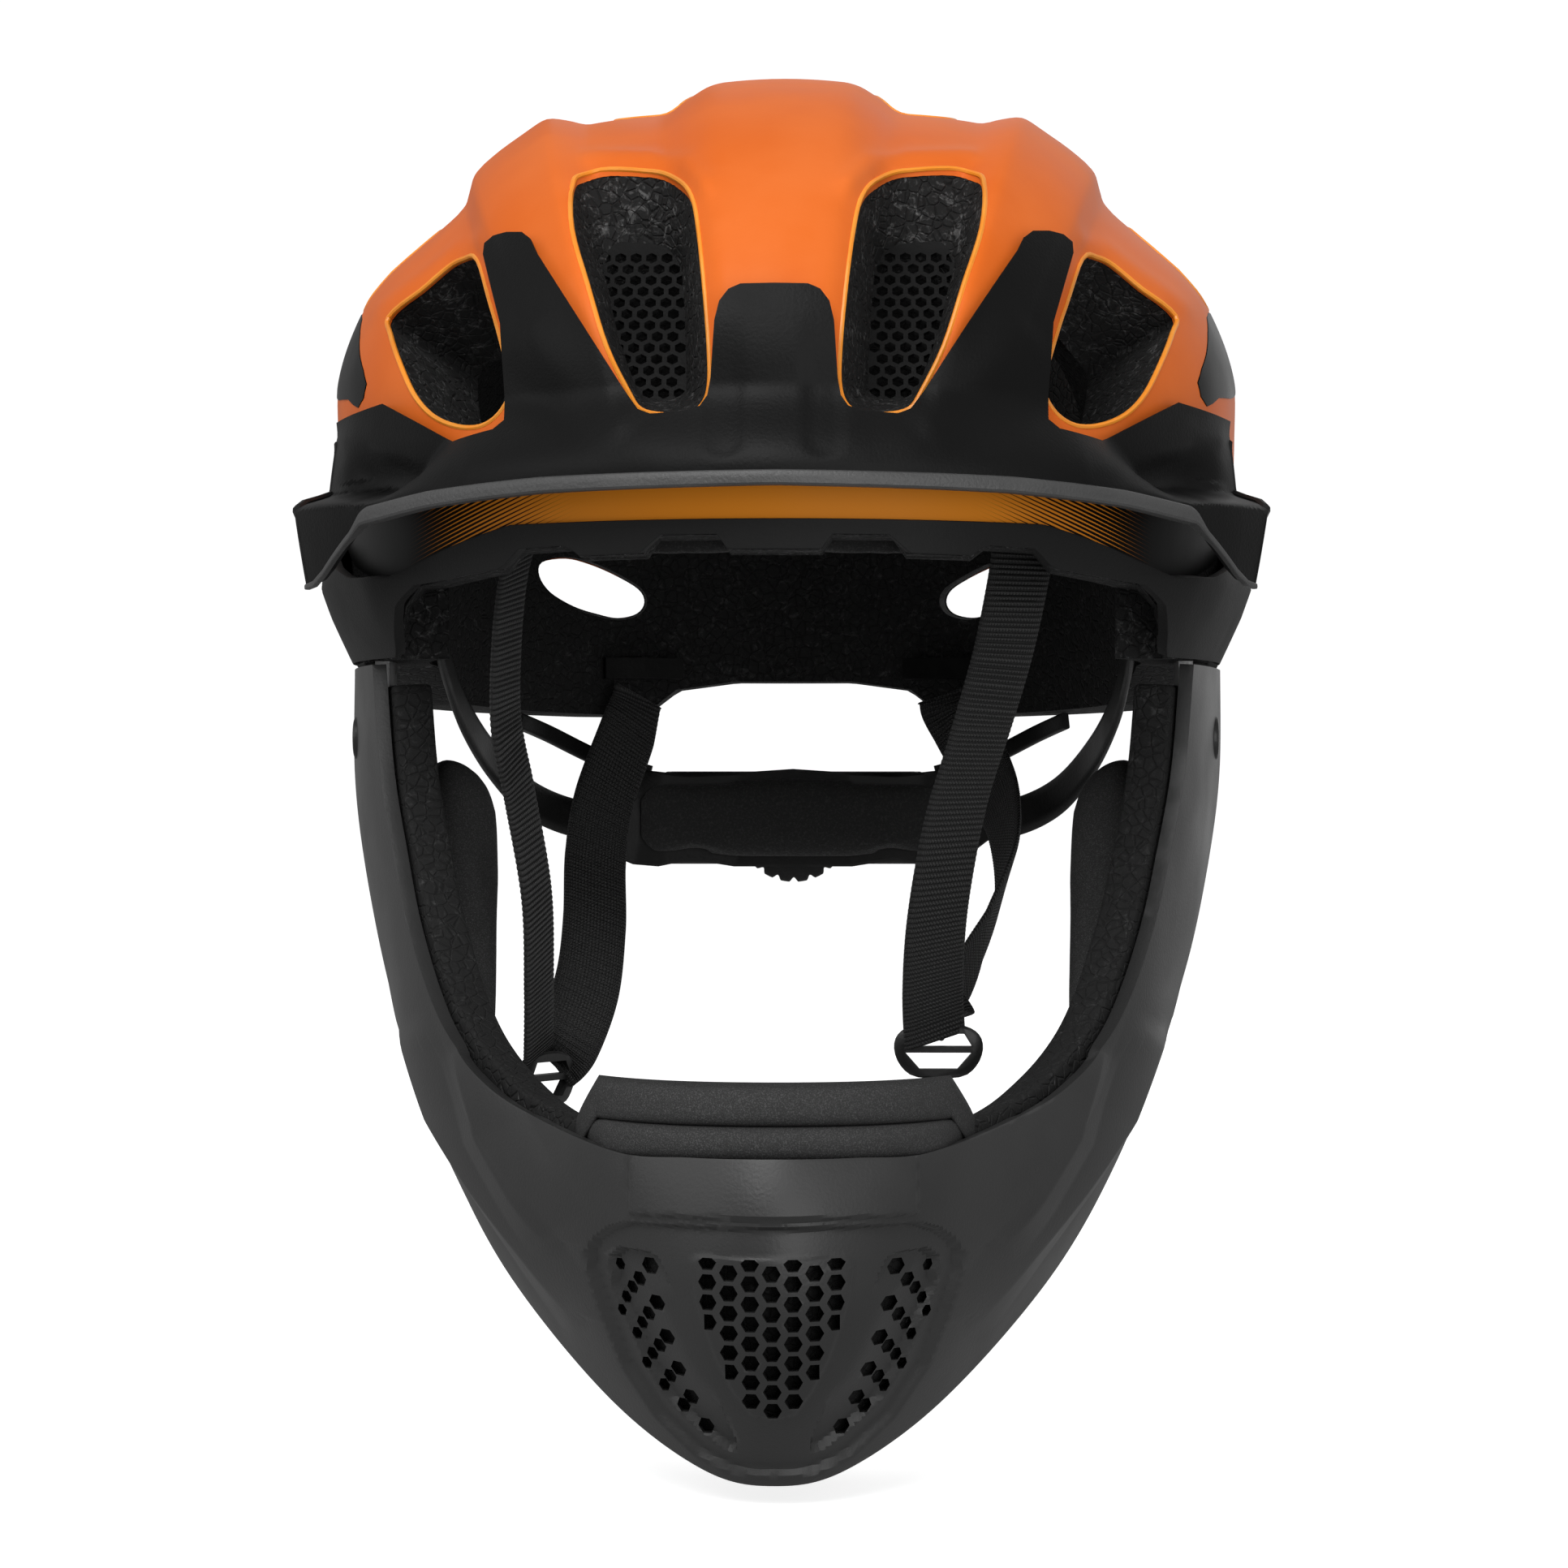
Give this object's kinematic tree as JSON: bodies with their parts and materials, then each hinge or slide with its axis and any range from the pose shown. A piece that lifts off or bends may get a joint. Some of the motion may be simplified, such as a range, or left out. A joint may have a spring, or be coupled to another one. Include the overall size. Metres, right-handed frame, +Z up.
{
  "type": "full face bicycle helmet",
  "caption": "Full face bicycle helmet with a vented crown shell, clip-on visor, removable chin guard with pads, dial fit system and webbing straps with a side-release buckle.",
  "frame": {"origin": "middle of the head cavity at the level where the head is widest, between the temples", "axes": "+Z up through the crown, -Y forwards through the face opening, +X to the right as seen from the front"},
  "size_m": [0.1992, 0.2879, 0.2894],
  "materials": {
    "shell_orange": "satin lacquered in-mould skin",
    "foam_black": "moulded beaded foam",
    "rim_black": "matte moulded",
    "panel_black": "glossy",
    "visor_black": "matte with a satin lip",
    "net_black": "moulded net",
    "guard_grey": "fine matte",
    "guard_foam": "moulded beaded foam",
    "pad_fabric": "brushed knit over foam",
    "hook_steel": "brushed",
    "socket_plastic": "moulded",
    "button_plastic": "satin",
    "cradle_plastic": "satin moulded",
    "dial_rubber": "ribbed grip",
    "webbing_black": "ribbed webbing",
    "buckle_plastic": "satin acetal"
  },
  "bodies": {
    "root": {"outer_shell": "shell_orange", "foam_liner_left": "foam_black", "foam_liner_right": "foam_black", "lower_shell": "rim_black", "side_panel_left": "panel_black", "side_panel_right": "panel_black", "net_left": "net_black", "net_right": "net_black", "hook_socket_left": "socket_plastic", "hook_socket_right": "socket_plastic", "brow_pad": "pad_fabric", "crown_pad": "pad_fabric", "side_pad_left": "pad_fabric", "side_pad_right": "pad_fabric", "cradle_body": "cradle_plastic", "cradle_cover": "cradle_plastic", "cradle_pad": "pad_fabric", "band_left": "cradle_plastic", "band_right": "cradle_plastic", "strut_left": "cradle_plastic", "strut_right": "cradle_plastic", "front_strap_left": "webbing_black", "front_strap_right": "webbing_black", "rear_strap_left": "webbing_black", "rear_strap_right": "webbing_black", "divider_left": "buckle_plastic", "divider_right": "buckle_plastic", "chin_strap_left": "webbing_black", "chin_strap_right": "webbing_black", "buckle_socket": "buckle_plastic", "front_anchors": "socket_plastic", "rear_anchors": "socket_plastic"},
    "guard": {"guard_shell": "guard_grey", "guard_liner": "guard_foam", "chin_pad": "pad_fabric", "cheek_pad_left": "pad_fabric", "cheek_pad_right": "pad_fabric", "guard_hooks": "hook_steel", "guard_screws": "hook_steel"},
    "button_left": {"guard_button_left": "button_plastic"},
    "button_right": {"guard_button_right": "button_plastic"},
    "visor": {"visor": "visor_black"},
    "dial": {"dial": "dial_rubber", "pinion": "cradle_plastic", "dial_screw": "hook_steel"},
    "rack_left": {"rack_left": "cradle_plastic"},
    "rack_right": {"rack_right": "cradle_plastic"},
    "tongue": {"buckle_tongue": "buckle_plastic"}
  },
  "joints": [
    {"name": "guard_slide", "type": "slide", "parent": "root", "child": "guard", "axis": [0, 0, -1], "range_m": [0, 0.03]},
    {"name": "button_left_press", "type": "slide", "parent": "guard", "child": "button_left", "axis": [1, 0, 0], "range_m": [0, 0.0025], "stiffness_N_per_m": 900},
    {"name": "button_right_press", "type": "slide", "parent": "guard", "child": "button_right", "axis": [-1, 0, 0], "range_m": [0, 0.0025], "stiffness_N_per_m": 900},
    {"name": "visor_slide", "type": "slide", "parent": "root", "child": "visor", "axis": [0, -1, 0], "range_m": [0, 0.025]},
    {"name": "dial_turn", "type": "hinge", "parent": "root", "child": "dial", "pos_m": [0, 0.095, -0.05], "axis": [0, -1, 0], "range_deg": [0, 100]},
    {"name": "rack_left_slide", "type": "slide", "parent": "root", "child": "rack_left", "axis": [1, 0, 0], "range_m": [0, 0.009], "deforming": ["band_left"]},
    {"name": "rack_right_slide", "type": "slide", "parent": "root", "child": "rack_right", "axis": [-1, 0, 0], "range_m": [0, 0.009], "deforming": ["band_right"]},
    {"name": "tongue_slide", "type": "slide", "parent": "root", "child": "tongue", "axis": [1, 0, 0], "range_m": [0, 0.025], "deforming": ["chin_strap_right"]}
  ],
  "couplings": [
    {"joint": "rack_left_slide", "follows": "dial_turn", "m_per_rad": 0.005},
    {"joint": "rack_right_slide", "follows": "dial_turn", "m_per_rad": 0.005}
  ]
}
